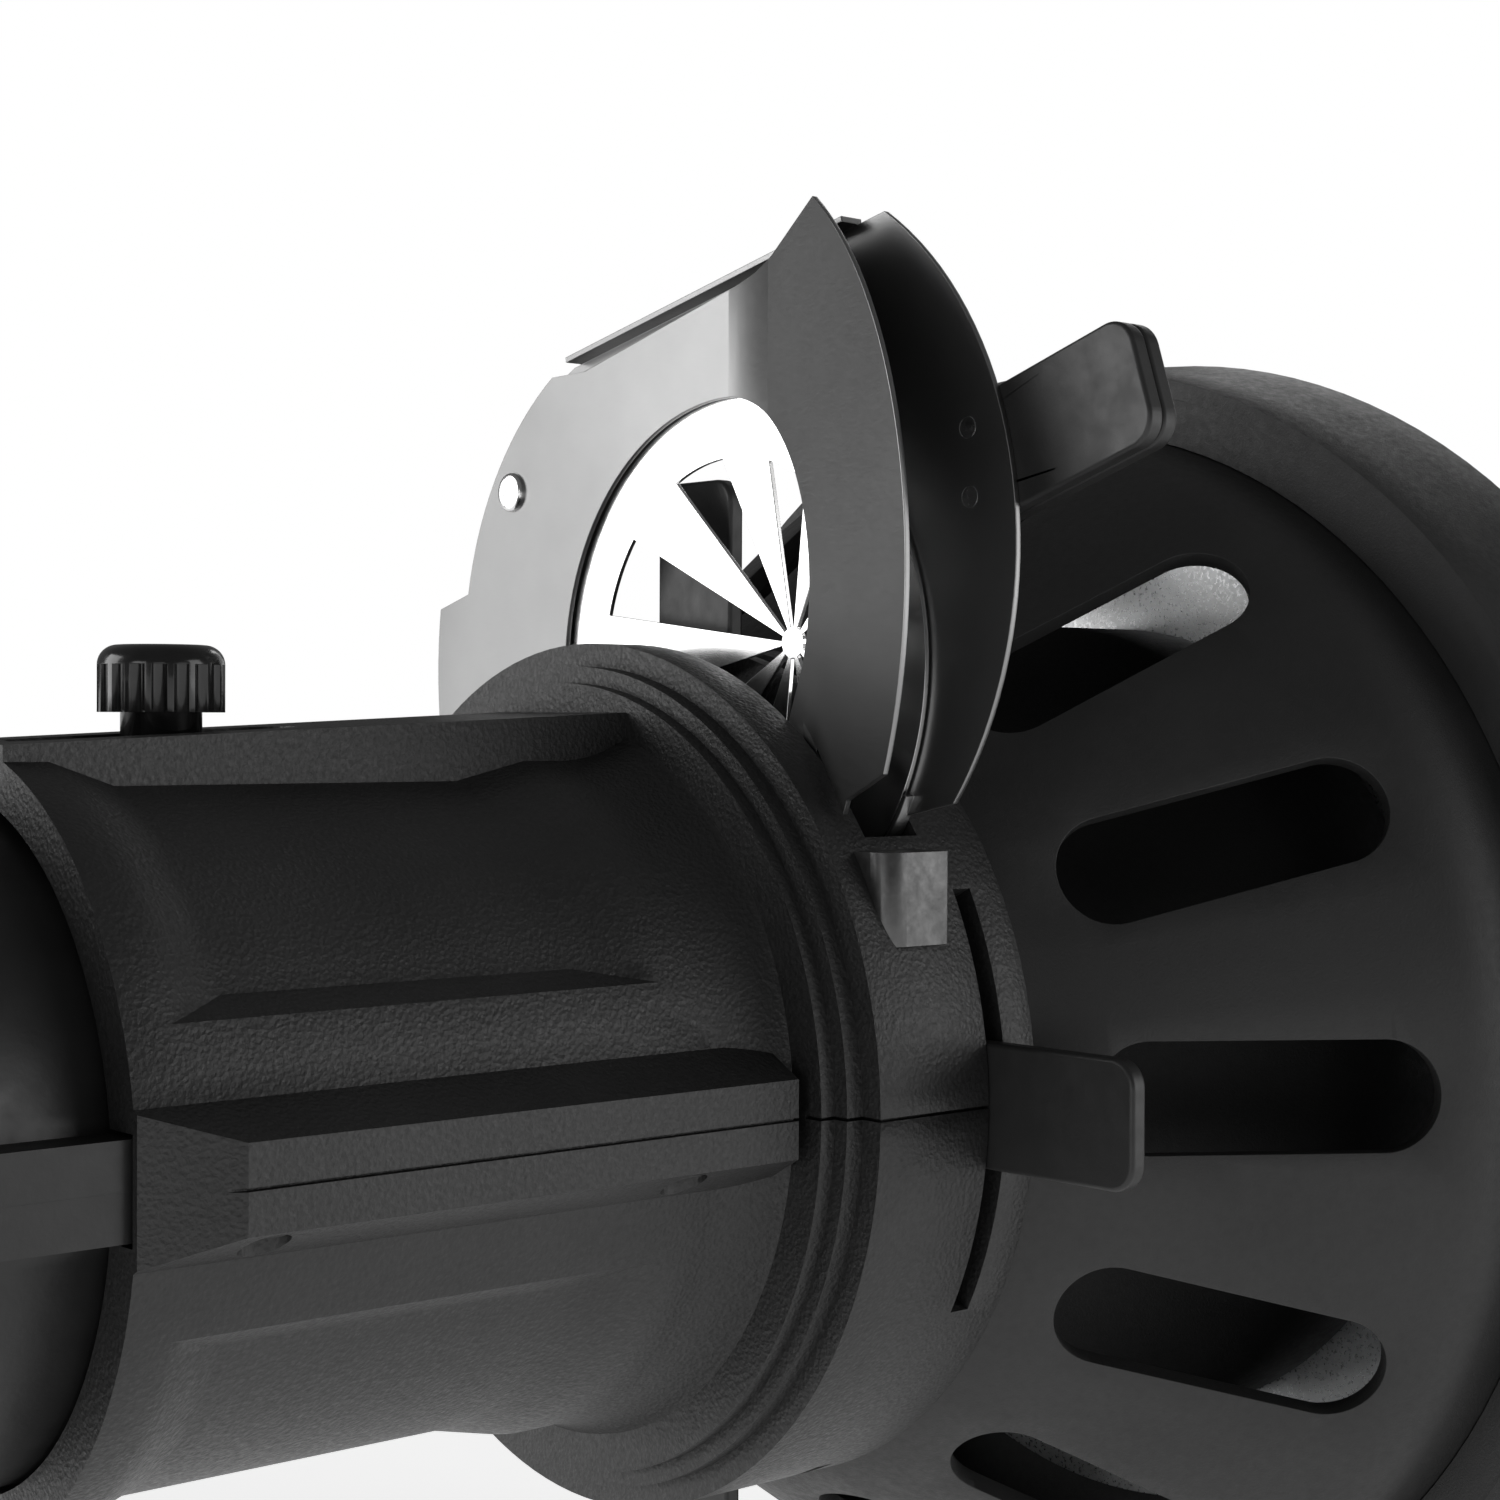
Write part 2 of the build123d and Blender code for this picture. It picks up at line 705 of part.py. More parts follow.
def tongue_arc(start_height):
    """Round lower end of a sheet, from its shoulder on the near side to the far side."""
    start = (-sqrt(tongue_radius**2 - start_height**2), -start_height)
    ThreePointArc(start, (0, -tongue_radius), (sqrt(tongue_radius**2 - 5.4**2), -5.4))
    return start


rivet_places = [(32.4, 27.1), (33.5, 2.0)]
grip_rivet_places = [(-35.5, 8.2), (-36.5, 14.6)]

with BuildPart() as gobo_back_plate:
    with BuildSketch(holder_plane(back_sheet_x[0])):
        with BuildLine():
            near_shoulder = tongue_arc(19.4)
            far_edge()
            Polyline((22.8, 37.6), (20.6, 38.2), (-29.8, 38.2))
            ThreePointArc((-29.8, 38.2), (-41.2, 12.0), (-27.8, -19.4))
            Line((-27.8, -19.4), near_shoulder)
        make_face()
        Circle(window_radius, mode=Mode.SUBTRACT)
        with Locations(*rivet_places, *grip_rivet_places):
            Circle(rivet_radius, mode=Mode.SUBTRACT)
    extrude(amount=sheet)
    with BuildSketch(holder_plane(back_sheet_x[0])):
        with BuildLine():
            lip_side = radians(38)
            outer_lip = (tongue_radius * cos(lip_side), -tongue_radius * sin(lip_side))
            inner_lip = (disc_seat_radius * cos(lip_side), -disc_seat_radius * sin(lip_side))
            ThreePointArc((-outer_lip[0], outer_lip[1]), (0, -tongue_radius), outer_lip)
            Line(outer_lip, inner_lip)
            ThreePointArc(inner_lip, (0, -disc_seat_radius), (-inner_lip[0], inner_lip[1]))
            Line((-inner_lip[0], inner_lip[1]), (-outer_lip[0], outer_lip[1]))
        make_face()
    extrude(amount=-sheet_gap)
    with BuildSketch(holder_plane(back_sheet_x[1])):
        with Locations((-3.3, 38.2 + sheet / 2)):
            Rectangle(45.4, sheet)
    extrude(amount=-top_lip_height)
save(gobo_back_plate.part, "gobo_back_plate")

half_bend = tan(radians(bend_angle / 2))
bend_run = 60.0
panel_step = (bend_run * sin(radians(bend_angle)), bend_run * cos(radians(bend_angle)))
panel_turn = (sheet * cos(radians(bend_angle)), sheet * sin(radians(bend_angle)))
spring_rear_x = spring_sheet_x + sheet
panel_end = (spring_rear_x - panel_step[0], bend_y - panel_step[1])

with BuildPart() as gobo_spring_plate:
    with BuildSketch(Plane.XY.offset(5)):
        with BuildLine():
            FilletPolyline(
                (spring_rear_x, bend_run),
                (spring_rear_x, bend_y),
                panel_end,
                radius=bend_radius + sheet,
            )
            Line(panel_end, (panel_end[0] - panel_turn[0], panel_end[1] + panel_turn[1]))
            FilletPolyline(
                (panel_end[0] - panel_turn[0], panel_end[1] + panel_turn[1]),
                (spring_sheet_x, bend_y + sheet * half_bend),
                (spring_sheet_x, bend_run),
                radius=bend_radius,
            )
            Line((spring_sheet_x, bend_run), (spring_rear_x, bend_run))
        make_face()
    extrude(amount=90)
    with BuildSketch(holder_plane(spring_sheet_x - 15)):
        with BuildLine():
            shoulder = tongue_arc(18.0)
            far_edge()
            Polyline((22.8, 37.6), (17.0, 36.5), (-12.5, 37.6), (-16.5, 38.0), (-26.5, 40.1))
            ThreePointArc((-26.5, 40.1), (-39.0, 12.0), (-30.4, -17.0))
            Line((-30.4, -17.0), shoulder)
        make_face()
    extrude(amount=17, mode=Mode.INTERSECT)
    with BuildSketch(holder_plane(spring_sheet_x - 15)):
        with BuildLine():
            ThreePointArc((-6.6, 26.5), (-19.0, 7.5), (-15.6, -3.5))
            Line((-15.6, -3.5), (5.0, -26.8))
            ThreePointArc((5.0, -26.8), (27.2, 2.3), (-6.6, 26.5))
        make_face()
        with Locations(*rivet_places):
            Circle(rivet_radius)
    extrude(amount=17, mode=Mode.SUBTRACT)
    add(ring_bar(-110, gobo_slot_x[0] + 0.4, drum_radius + 0.9), mode=Mode.SUBTRACT)
save(gobo_spring_plate.part, "gobo_spring_plate")

rivet_head_radius = 2.2
rivet_head_height = 0.7

with BuildPart() as gobo_rivets:
    with BuildSketch(holder_plane(spring_rear_x)):
        with Locations(*rivet_places):
            Circle(spacer_radius)
    extrude(amount=sheet_gap)
    with BuildSketch(holder_plane(spring_sheet_x)):
        with Locations(*rivet_places):
            Circle(rivet_radius)
    extrude(amount=back_sheet_x[1] - spring_sheet_x)
    with BuildSketch(holder_plane(spring_sheet_x)):
        with Locations(*rivet_places):
            Circle(rivet_head_radius)
    extrude(amount=-rivet_head_height)
    fillet(gobo_rivets.faces().sort_by(Axis.X)[0:2].edges(), 0.5)
save(gobo_rivets.part, "gobo_rivets")

grip_plane_turn = 6.2         # the grip rises a little from the holder's own level
grip_start = (-33.0, 10.9)
grip_length = 24.4
grip_half = 5.9


def grip_layer_part(x_start, name):
    """One of the two rounded plates of the finger grip, behind the back sheet."""
    rise = radians(grip_plane_turn)
    middle = (
        grip_start[0] - cos(rise) * grip_length / 2,
        grip_start[1] + sin(rise) * grip_length / 2,
    )
    with BuildPart() as layer:
        with BuildSketch(holder_plane(x_start)):
            with Locations(Location((*middle, 0), (0, 0, -grip_plane_turn))):
                RectangleRounded(grip_length, 2 * grip_half, 2.8)
        extrude(amount=grip_layer)
        fillet(layer.faces().filter_by(Axis.X).edges(), 0.4)
        with BuildSketch(holder_plane(x_start)):
            with Locations(*grip_rivet_places):
                Circle(rivet_radius)
        extrude(amount=grip_layer, mode=Mode.SUBTRACT)
    save(layer.part, name)


grip_layer_part(back_sheet_x[1], "gobo_grip_front")
grip_layer_part(back_sheet_x[1] + grip_layer, "gobo_grip_back")

with BuildPart() as grip_rivets:
    with BuildSketch(holder_plane(back_sheet_x[0])):
        with Locations(*grip_rivet_places):
            Circle(rivet_radius)
    extrude(amount=sheet + 2 * grip_layer)
save(grip_rivets.part, "grip_rivets")

burst_centre = (-9.5, 0.2)    # where the rays of the pattern meet, off the disc's centre
burst_radius = 21.3
ray_count = 10
ray_start = 18.5
ray_width = 17.5
ray_tip = 1.6                 # metal left where the rays meet

with BuildPart() as gobo_disc:
    disc_x = (spring_rear_x + back_sheet_x[0] - disc_thickness) / 2
    with BuildSketch(holder_plane(disc_x)):
        Circle(disc_radius)
    extrude(amount=disc_thickness)
    with BuildSketch(holder_plane(disc_x)):
        for ray in range(ray_count):
            first = radians(ray_start + ray * 360 / ray_count)
            last = first + radians(ray_width)
            reach = 2 * burst_radius
            with BuildLine():
                Polyline(
                    *[
                        (burst_centre[0] + r * cos(a), burst_centre[1] + r * sin(a))
                        for r, a in ((ray_tip, first), (reach, first), (reach, last), (ray_tip, last))
                    ],
                    close=True,
                )
            make_face()
        Circle(burst_radius, mode=Mode.INTERSECT)
    extrude(amount=disc_thickness, mode=Mode.SUBTRACT)
save(gobo_disc.part, "gobo_disc")

# ---------------------------------------------------------------- focusing lens tube
collar_x = (tube_front_x, -229.0)
collar_radius = 33.4
key_front_x = -222.0
lens_radius = 27.9
groove_slack = 0.1
lens_groove_rim = 0.35        # a groove is this much wider than the lens's edge, on each side
front_lens_x = -232.5
front_lens_edge = 2.6
rear_lens_x = -109.0
rear_lens_edge = 2.4
baffle_x = (-172.0, -170.8)
trim_ring_x = (tube_front_x, -237.4)
trim_ring_radius = 31.4
tube_screw_y = 31.3
nut_half = 3.5
nut_z = (23.4, 25.8)
boss_z = (21.8, 28.0)
boss_half = 5.6

tube_screw_seats = [
    Plane(origin=(x, side * tube_screw_y, -2.2), z_dir=(0, 0, -1))
    for x in (-213.0, -165.0, -112.0)
    for side in (-1, 1)
]

with BuildPart() as tube:
    add(ring_bar(tube_front_x, tube_rear_x, tube_radius))
    add(ring_bar(*collar_x, collar_radius))
    fillet(tube.edges().filter_by(GeomType.CIRCLE).group_by(SortBy.RADIUS)[-1], 1.0)
    add(block((key_front_x, tube_rear_x), (-key_y, key_y), (-key_half, key_half)))
    add(ring_bar(tube_front_x, tube_rear_x, tube_inner_radius), mode=Mode.SUBTRACT)
    add(ring_bar(*trim_ring_x, trim_ring_radius), mode=Mode.SUBTRACT)
    for centre, edge in ((front_lens_x, front_lens_edge), (rear_lens_x, rear_lens_edge)):
        groove = edge / 2 + lens_groove_rim
        add(ring_bar(centre - groove, centre + groove, lens_radius + groove_slack), mode=Mode.SUBTRACT)
    add(ring_bar(*baffle_x, lens_radius + groove_slack), mode=Mode.SUBTRACT)
    add(
        block((thumbscrew_x - boss_half, thumbscrew_x + boss_half), (-boss_half, boss_half), boss_z)
    )
    add(
        block(
            (thumbscrew_x - nut_half - groove_slack, thumbscrew_x + nut_half + groove_slack),
            (-nut_half - groove_slack, nut_half + groove_slack),
            (nut_z[0], nut_z[1] + groove_slack),
        ),
        mode=Mode.SUBTRACT,
    )
    with BuildSketch(Plane(origin=(thumbscrew_x, 0, boss_z[0]))):
        Circle(clamp_slot_half)
    extrude(amount=tube_radius - boss_z[0] + 1, mode=Mode.SUBTRACT)
    add(screw_holes(tube_screw_seats, 0.9 + slip, 5.0, 1.6, 2.0), mode=Mode.SUBTRACT)

with BuildPart() as tube_upper_shell:
    add(tube.part)
    split(bisect_by=Plane.XY, keep=Keep.TOP)
save(tube_upper_shell.part, "tube_upper_shell")

with BuildPart() as tube_lower_shell:
    add(tube.part)
    split(bisect_by=Plane.XY, keep=Keep.BOTTOM)
save(tube_lower_shell.part, "tube_lower_shell")

save(screws(tube_screw_seats, 0.9, 1.5, 4.8, 1.4), "tube_screws")
save(lens(front_lens_x, lens_radius, front_lens_edge, 3.2, 2.0), "front_lens")
save(lens(rear_lens_x, lens_radius, rear_lens_edge, 3.6, 0), "rear_lens")
save(ring_bar(*baffle_x, lens_radius, 19.0), "tube_baffle")

with BuildPart() as front_trim_ring:
    add(ring_bar(*trim_ring_x, trim_ring_radius, 26.4))
    inner_rim = front_trim_ring.edges().filter_by(GeomType.CIRCLE).group_by(SortBy.RADIUS)[0]
    chamfer(inner_rim.sort_by(Axis.X)[0], 1.2)
save(front_trim_ring.part, "front_trim_ring")

with BuildPart() as clamp_nut:
    with BuildSketch(Plane(origin=(thumbscrew_x, 0, nut_z[0]))):
        Rectangle(2 * nut_half, 2 * nut_half)
        Circle(shank_radius + slip, mode=Mode.SUBTRACT)
    extrude(amount=nut_z[1] - nut_z[0])
save(clamp_nut.part, "clamp_nut")

# ---------------------------------------------------------------- thumbscrew
with BuildPart() as thumbscrew_shank:
    with BuildSketch(Plane(origin=(thumbscrew_x, 0, shank_end_z))):
        Circle(shank_radius)
    extrude(amount=knob_z[0] + 3.0 - shank_end_z)
    chamfer(thumbscrew_shank.edges().sort_by(Axis.Z)[0], 0.4)
save(thumbscrew_shank.part, "thumbscrew_shank")

with BuildPart() as thumbscrew_knob:
    with BuildSketch(Plane(origin=(thumbscrew_x, 0, clamp_bed_z + slip))):
        Circle(neck_radius)
    extrude(amount=knob_z[0] - clamp_bed_z)
    with BuildSketch(Plane(origin=(thumbscrew_x, 0, knob_z[0]))):
        Circle(knob_radius)
    extrude(amount=knob_z[1] - knob_z[0])
    fillet(thumbscrew_knob.edges().sort_by(Axis.Z)[-1], 1.8)
    with BuildSketch(Plane(origin=(thumbscrew_x, 0, knob_z[0]))):
        with PolarLocations(knob_radius + 0.35, flute_count):
            Circle(0.8)
    extrude(amount=flute_height, mode=Mode.SUBTRACT)
    add(thumbscrew_shank.part, mode=Mode.SUBTRACT)
save(thumbscrew_knob.part, "thumbscrew_knob")
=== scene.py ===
"""Looks, light and camera for the spot projection attachment. Metres, in the CAD model's frame."""
import json
from math import cos, radians, sin

import bmesh
import bpy
from mathutils import Matrix, Vector


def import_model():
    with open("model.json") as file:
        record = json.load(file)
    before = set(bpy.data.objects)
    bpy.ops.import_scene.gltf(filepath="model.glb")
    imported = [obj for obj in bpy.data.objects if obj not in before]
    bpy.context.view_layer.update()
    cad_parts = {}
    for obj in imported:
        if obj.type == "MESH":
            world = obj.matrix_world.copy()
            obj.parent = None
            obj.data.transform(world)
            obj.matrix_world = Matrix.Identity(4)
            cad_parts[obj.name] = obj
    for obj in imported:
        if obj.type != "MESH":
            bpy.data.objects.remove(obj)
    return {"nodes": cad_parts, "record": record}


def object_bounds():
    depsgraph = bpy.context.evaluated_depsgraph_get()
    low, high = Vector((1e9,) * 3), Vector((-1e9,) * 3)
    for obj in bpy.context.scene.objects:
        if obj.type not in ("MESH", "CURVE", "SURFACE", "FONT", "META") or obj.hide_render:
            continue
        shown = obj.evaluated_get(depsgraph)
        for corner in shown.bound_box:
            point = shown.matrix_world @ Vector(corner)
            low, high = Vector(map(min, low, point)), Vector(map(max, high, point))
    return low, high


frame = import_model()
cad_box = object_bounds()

NODES = frame["nodes"]
MM = 0.001
WHITE = (1, 1, 1, 1)

# Most of a noise lies between these two values, so colour and roughness run from one to the other.
NOISE_LOW = 0.3
NOISE_HIGH = 0.7


# ---------------------------------------------------------------- material building
# In the materials below, low and high are the two ends of the roughness.
class Shader:
    """One Principled material with its texture nodes in object space, so 1 unit is 1 metre."""

    def __init__(self, name, **sockets):
        self.material = bpy.data.materials.new(name)
        self.material.use_nodes = True
        self.tree = self.material.node_tree
        self.surface = self.tree.nodes["Principled BSDF"]
        for socket, value in sockets.items():
            self.surface.inputs[socket.replace("_", " ")].default_value = value
        self.place = self.tree.nodes.new("ShaderNodeTexCoord").outputs["Object"]
        self.height = None

    def node(self, kind, **values):
        """New node with its plain properties set."""
        made = self.tree.nodes.new(kind)
        for key, value in values.items():
            setattr(made, key, value)
        return made

    def link(self, source, target):
        self.tree.links.new(source, target)

    def stretched(self, stretch):
        """Object coordinates scaled unevenly, for brushed or drawn surfaces."""
        mapping = self.node("ShaderNodeMapping")
        mapping.inputs["Scale"].default_value = stretch
        self.link(self.place, mapping.inputs["Vector"])
        return mapping.outputs["Vector"]

    def noise(self, size, detail=3.0, roughness=0.55, stretch=None):
        """Noise whose features are about size metres across."""
        made = self.node("ShaderNodeTexNoise")
        self.link(self.stretched(stretch) if stretch else self.place, made.inputs["Vector"])
        made.inputs["Scale"].default_value = 1.0 / size
        made.inputs["Detail"].default_value = detail
        made.inputs["Roughness"].default_value = roughness
        return made.outputs["Fac"]

    def cells(self, size, smoothness=0.3):
        """Rounded cells about size metres across."""
        made = self.node("ShaderNodeTexVoronoi", feature="SMOOTH_F1")
        self.link(self.place, made.inputs["Vector"])
        made.inputs["Scale"].default_value = 1.0 / size
        made.inputs["Smoothness"].default_value = smoothness
        return made.outputs["Distance"]

    def colours(self, fac, first, second):
        """Base colour from first to second as fac rises."""
        ramp = self.node("ShaderNodeValToRGB")
        stops = ((NOISE_LOW, first), (NOISE_HIGH, second))
        for element, (position, colour) in zip(ramp.color_ramp.elements, stops):
            element.position = position
            element.color = (*colour, 1.0)
        self.link(fac, ramp.inputs["Fac"])
        self.link(ramp.outputs["Color"], self.surface.inputs["Base Color"])

    def rough(self, fac, low, high):
        """Roughness from low to high as fac rises."""
        made = self.node("ShaderNodeMapRange")
        self.link(fac, made.inputs["Value"])
        ends = {"From Min": NOISE_LOW, "From Max": NOISE_HIGH, "To Min": low, "To Max": high}
        for socket, value in ends.items():
            made.inputs[socket].default_value = value
        self.link(made.outputs["Result"], self.surface.inputs["Roughness"])

    def bump(self, fac, depth, strength=1.0):
        """Adds relief of about depth metres on top of what is there."""
        made = self.node("ShaderNodeBump")
        made.inputs["Distance"].default_value = depth
        made.inputs["Strength"].default_value = strength
        self.link(fac, made.inputs["Height"])
        if self.height:
            self.link(self.height, made.inputs["Normal"])
        self.height = made.outputs["Normal"]
        self.link(self.height, self.surface.inputs["Normal"])


def grey(value, tint=0.0):
    """Neutral colour, a little blue for a positive tint."""
    return (value * (1 - tint), value, value * (1 + tint))


def grained_plastic():
    """Moulded black plastic with a fine leather grain, as on the two housing shells."""
    s = Shader("shell_plastic", Specular_IOR_Level=0.6)
    s.colours(s.noise(14 * MM, 4), grey(0.010), grey(0.017))
    s.rough(s.noise(0.5 * MM, 5), 0.36, 0.58)
    s.bump(s.noise(24 * MM, 2), 0.1 * MM, 0.3)
    s.bump(s.cells(0.5 * MM), 0.1 * MM, 0.6)
    s.bump(s.noise(0.25 * MM, 4), 0.07 * MM, 0.8)
    return s.material


def satin_plastic(name="tube_plastic", lightness=0.012, low=0.34, high=0.46):
    """Smoother moulded plastic with hardly any grain."""
    s = Shader(name)
    s.colours(s.noise(18 * MM, 4), grey(lightness), grey(lightness * 1.5))
    s.rough(s.noise(2.2 * MM, 5), low, high)
    s.bump(s.noise(0.5 * MM, 3), 0.03 * MM, 0.5)
    s.bump(s.noise(9 * MM, 2), 0.12 * MM, 0.2)
    return s.material


def powder_coat(name="cone_coat", lightness=0.014, low=0.44, high=0.58):
    """Fine sandy powder coat on metal."""
    s = Shader(name)
    speck = s.noise(0.28 * MM, 5, 0.7)
    s.colours(s.noise(22 * MM, 5), grey(lightness), grey(lightness * 1.6))
    s.rough(s.noise(0.9 * MM, 5), low, high)
    s.bump(s.noise(6 * MM, 3), 0.1 * MM, 0.25)
    s.bump(speck, 0.07 * MM, 0.75)
    return s.material


def rolled_steel(name, light, dark, low, high, run=(1.0, 1.0, 24.0)):
    """Sheet metal with fine rolling lines along one direction."""
    s = Shader(name, Metallic=1.0)
    lines = s.noise(1.6 * MM, 6, 0.6, run)
    s.colours(s.noise(26 * MM, 4), grey(dark), grey(light))
    s.rough(lines, low, high)
    s.bump(lines, 0.01 * MM, 0.35)
    return s.material


def turned_steel():
    """Bare machined steel with fine marks in no particular direction."""
    s = Shader("bare_steel", Metallic=1.0)
    marks = s.noise(0.5 * MM, 5, 0.6)
    s.colours(s.noise(12 * MM, 4), grey(0.42), grey(0.56, 0.02))
    s.rough(marks, 0.22, 0.38)
    s.bump(marks, 0.01 * MM, 0.4)
    return s.material


def mirror_sheet():
    """Polished pattern disc, with the faint haze that handling leaves."""
    s = Shader("pattern_steel", Metallic=1.0)
    s.colours(s.noise(20 * MM, 3), grey(0.86), grey(0.93))
    s.rough(s.noise(5 * MM, 6), 0.16, 0.26)
    s.bump(s.noise(0.8 * MM, 4), 0.004 * MM, 0.3)
    return s.material


def bright_rivet():
    """Bright steel of the rivets."""
    s = Shader("rivet_steel", Metallic=1.0)
    s.colours(s.noise(1.5 * MM, 3), grey(0.74), grey(0.88))
    s.rough(s.noise(0.6 * MM, 4), 0.14, 0.3)
    s.bump(s.noise(0.5 * MM, 3), 0.02 * MM, 0.4)
    return s.material


def coated_glass():
    """Lens glass with the cool cast of an anti-reflection coating."""
    s = Shader("optic_glass", Transmission_Weight=1.0, IOR=1.52, Coat_Weight=0.4, Coat_Roughness=0.02)
    s.colours(s.noise(30 * MM, 3), (0.86, 0.93, 0.97), (0.93, 0.97, 0.98))
    s.rough(s.noise(12 * MM, 5), 0.0, 0.03)
    s.bump(s.noise(8 * MM, 2), 0.002 * MM, 0.2)
    return s.material


def black_oxide():
    """Blackened steel of the screws."""
    s = Shader("black_screw", Metallic=0.9)
    s.colours(s.noise(2 * MM, 4), grey(0.03), grey(0.075))
    s.rough(s.noise(0.7 * MM, 4), 0.28, 0.46)
    s.bump(s.noise(0.4 * MM, 3), 0.02 * MM, 0.4)
    return s.material


def gloss_knob():
    """Hard glossy plastic of the thumbscrew."""
    s = Shader("knob_plastic", Coat_Weight=0.3, Coat_Roughness=0.08)
    s.colours(s.noise(4 * MM, 4), grey(0.006), grey(0.012))
    s.rough(s.noise(1.2 * MM, 5), 0.14, 0.26)
    s.bump(s.noise(1.6 * MM, 3), 0.02 * MM, 0.3)
    return s.material


def dark_anodised():
    """Dark metal of the stop block."""
    s = Shader("stop_metal", Metallic=0.85)
    s.colours(s.noise(3 * MM, 4), grey(0.09), grey(0.15))
    s.rough(s.noise(0.8 * MM, 5), 0.34, 0.5)
    s.bump(s.noise(0.5 * MM, 4), 0.03 * MM, 0.5)
    return s.material


MATERIALS = {
    "shell_plastic": grained_plastic(),
    "tube_plastic": satin_plastic(),
    "cone_coat": powder_coat(),
    "ring_coat": powder_coat("ring_coat", lightness=0.02, low=0.4, high=0.55),
    "plate_coat": powder_coat("plate_coat", lightness=0.012, low=0.5, high=0.64),
    "bare_steel": turned_steel(),
    "black_screw": black_oxide(),
    "handle_plastic": satin_plastic("handle_plastic", lightness=0.015, low=0.36, high=0.5),
    "blade_steel": rolled_steel("blade_steel", light=0.4, dark=0.3, low=0.26, high=0.4),
    "holder_steel": rolled_steel("holder_steel", light=0.33, dark=0.27, low=0.3, high=0.4),
    "rivet_steel": bright_rivet(),
    "pattern_steel": mirror_sheet(),
    "optic_glass": coated_glass(),
    "knob_plastic": gloss_knob(),
    "stop_metal": dark_anodised(),
}


# ---------------------------------------------------------------- CAD pieces
# Width of the rounded edges in millimetres, where it isn't SMALL_EDGE.
EDGE_WIDTH = {
    "upper_shell": 0.35,
    "lower_shell": 0.35,
    "vent_cone": 0.3,
    "mount_ring": 0.4,
    "gobo_spring_plate": 0.08,
    "gobo_back_plate": 0.08,
    "gobo_disc": 0.06,
    "slot_stop_block": 0.25,
}
SMALL_EDGE = 0.12
EDGE_ANGLE = radians(32)
EDGE_SEGMENTS = 2
WELD_DISTANCE = 0.002 * MM


def soften(piece, width):
    """Rounds the hard edges of a CAD piece by modifiers, which leave its own mesh alone."""
    weld = piece.modifiers.new("join_faces", "WELD")
    weld.merge_threshold = WELD_DISTANCE
    bevel = piece.modifiers.new("edge_round", "BEVEL")
    bevel.width = width * MM
    bevel.segments = EDGE_SEGMENTS
    bevel.limit_method = "ANGLE"
    bevel.angle_limit = EDGE_ANGLE


for entry in frame["record"]["subparts"]:
    piece = NODES[entry["node"]]
    piece.data.materials.clear()
    piece.data.materials.append(MATERIALS[entry["material_slot"]])
    soften(piece, EDGE_WIDTH.get(entry["node"], SMALL_EDGE))


# ---------------------------------------------------------------- floor and light
FLOOR_REACH = 3.0
FLOOR_GAP = 0.4 * MM

LIGHT_TARGET = (-0.09, 0.0, 0.02)
# name: (place, (width, height), watts)
SOFT_BOXES = {
    "lens_side": ((-0.72, 0.5, 0.15), (0.5, 0.7), 3.4),
    "near_side": ((0.42, -0.62, 0.05), (0.6, 0.6), 2.1),
    "low_front": ((-0.75, -0.25, -0.02), (0.25, 0.4), 0.5),
    "back_right": ((0.75, 0.35, 0.35), (0.4, 0.5), 1.2),
}


def floor():
    """Pale sheet just under the object, which glows a little so that it stays pale everywhere."""
    level = cad_box[0][2] - FLOOR_GAP
    mesh = bpy.data.meshes.new("floor")
    shape = bmesh.new()
    bmesh.ops.create_grid(shape, x_segments=1, y_segments=1, size=FLOOR_REACH)
    bmesh.ops.translate(shape, verts=shape.verts, vec=(0, 0, level))
    shape.to_mesh(mesh)
    shape.free()
    sheet = bpy.data.objects.new("floor", mesh)
    bpy.context.scene.collection.objects.link(sheet)
    s = Shader("floor_paper", Roughness=0.8, Emission_Color=WHITE, Emission_Strength=0.6)
    s.colours(s.noise(300 * MM, 2), grey(0.86), grey(0.9))
    mesh.materials.append(s.material)


def soft_box(name, place, size, watts):
    """Rectangular area light at place, facing LIGHT_TARGET."""
    data = bpy.data.lights.new(name, "AREA")
    data.shape = "RECTANGLE"
    data.size, data.size_y = size
    data.energy = watts
    lamp = bpy.data.objects.new(name, data)
    lamp.location = place
    facing = Vector(LIGHT_TARGET) - Vector(place)
    lamp.rotation_euler = facing.to_track_quat("-Z", "Y").to_euler()
    bpy.context.scene.collection.objects.link(lamp)


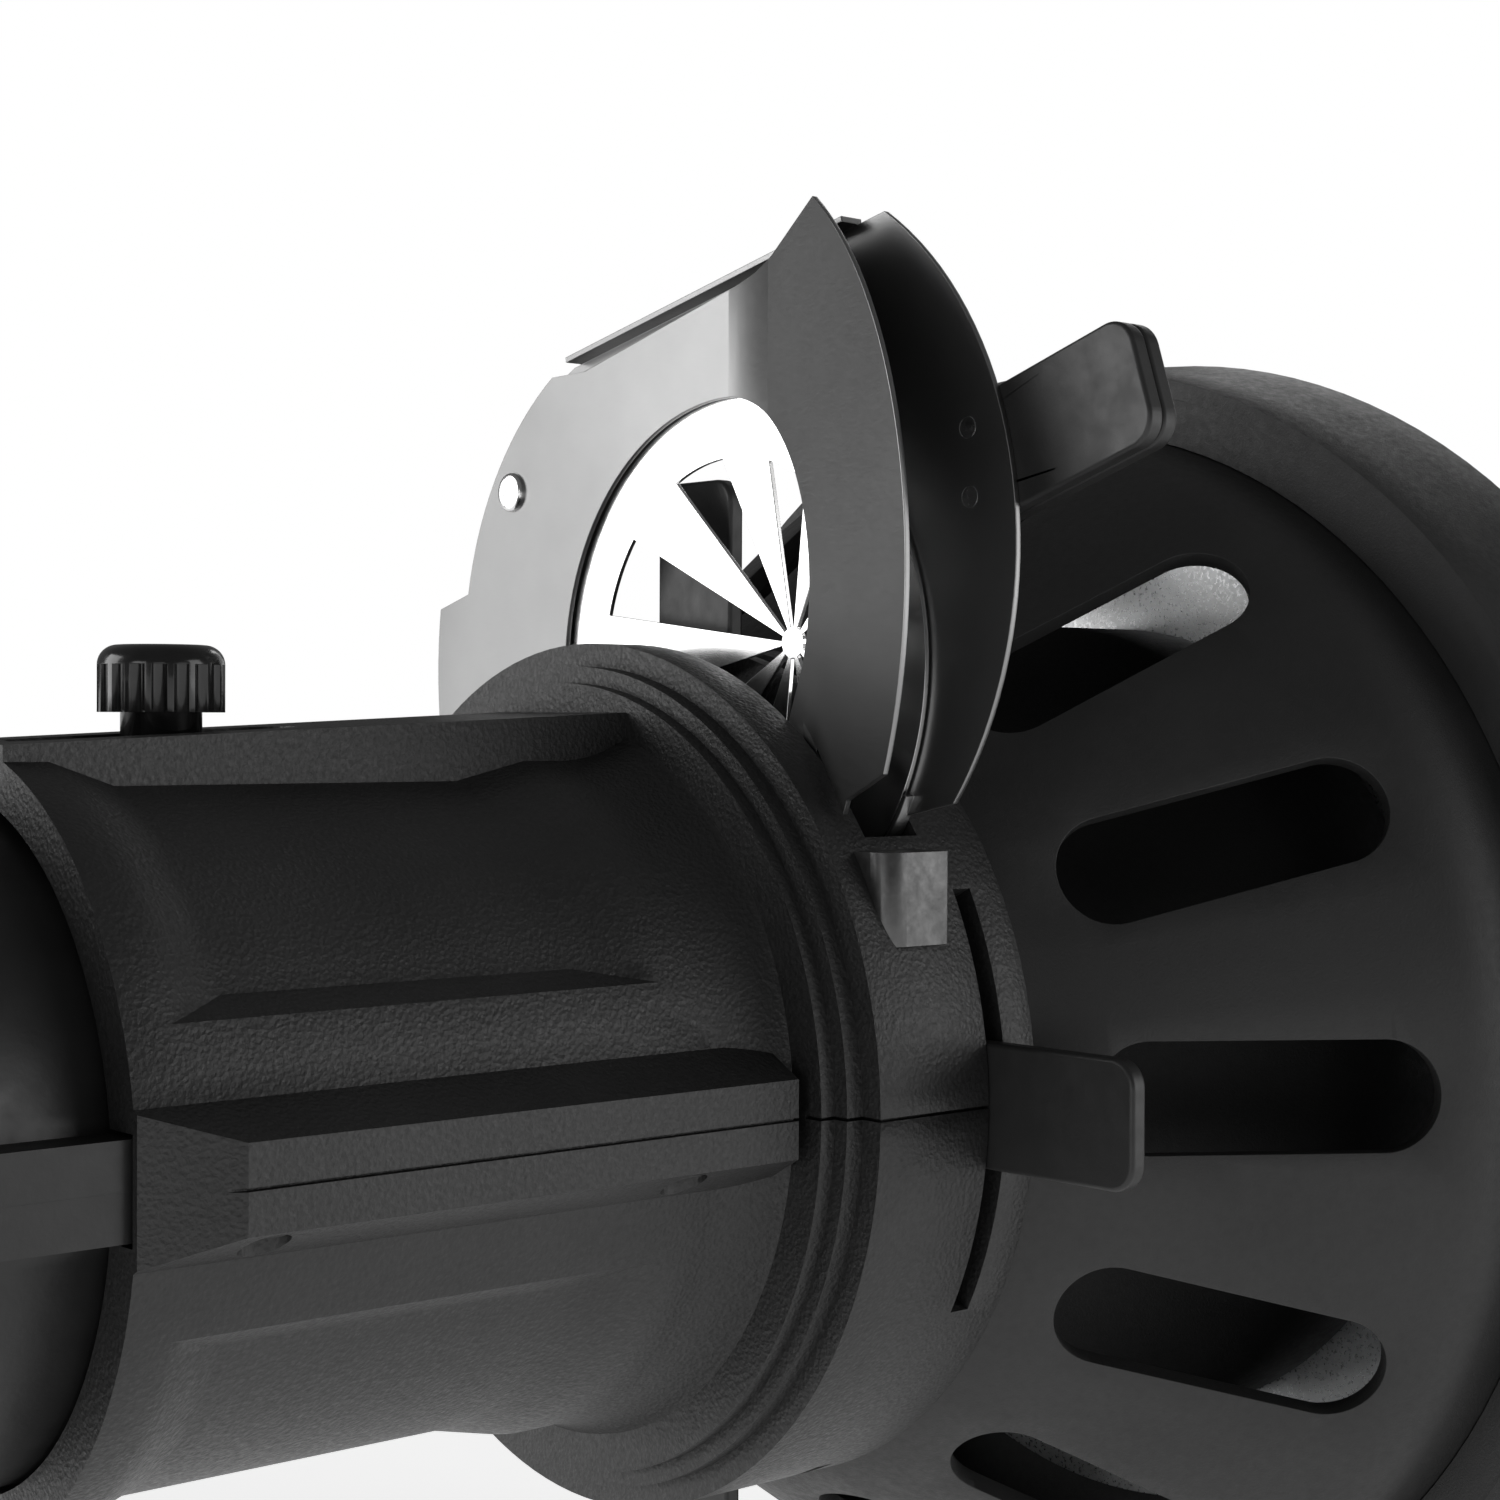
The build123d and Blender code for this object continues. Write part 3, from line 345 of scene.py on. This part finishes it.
def world(shown, cast):
    """Pale surroundings: shown is what the camera sees, cast is what lights the object."""
    surround = bpy.data.worlds.new("studio")
    bpy.context.scene.world = surround
    surround.use_nodes = True
    tree = surround.node_tree
    tree.nodes.clear()
    ray = tree.nodes.new("ShaderNodeLightPath")
    choice = tree.nodes.new("ShaderNodeMixShader")
    out = tree.nodes.new("ShaderNodeOutputWorld")
    tree.links.new(ray.outputs["Is Camera Ray"], choice.inputs["Fac"])
    # The mix shows its socket 1 to other rays and its socket 2 to camera rays.
    for socket, strength in ((1, cast), (2, shown)):
        background = tree.nodes.new("ShaderNodeBackground")
        background.inputs["Color"].default_value = WHITE
        background.inputs["Strength"].default_value = strength
        tree.links.new(background.outputs["Background"], choice.inputs[socket])
    tree.links.new(choice.outputs["Shader"], out.inputs["Surface"])


floor()
world(shown=1.0, cast=0.12)
for box_name, (box_place, box_size, box_watts) in SOFT_BOXES.items():
    soft_box(box_name, box_place, box_size, box_watts)


# ---------------------------------------------------------------- camera
AIM = Vector((-65.95, 0.0, 32.96)) * MM
DISTANCE = 285.3 * MM
AZIMUTH = radians(-40.83)
ELEVATION = radians(0.64)
ROLL = radians(0.22)
LENS_MM = 63.2
SENSOR_MM = 36.0
CLIP_START = 5 * MM


def camera():
    """Camera at the viewing angle of the reference, a little above the optical axis."""
    back = Vector((sin(AZIMUTH) * cos(ELEVATION), -cos(AZIMUTH) * cos(ELEVATION), sin(ELEVATION)))
    right = Vector((0, 0, 1)).cross(back).normalized()
    up = back.cross(right)
    turned_right = right * cos(ROLL) + up * sin(ROLL)
    turned_up = up * cos(ROLL) - right * sin(ROLL)
    data = bpy.data.cameras.new("camera")
    data.lens = LENS_MM
    data.sensor_width = SENSOR_MM
    data.clip_start = CLIP_START
    eye = bpy.data.objects.new("camera", data)
    axes = Matrix((turned_right, turned_up, back)).transposed()
    eye.matrix_world = Matrix.Translation(AIM + back * DISTANCE) @ axes.to_4x4()
    bpy.context.scene.collection.objects.link(eye)
    bpy.context.scene.camera = eye


camera()
bpy.context.scene.view_settings.view_transform = "Standard"
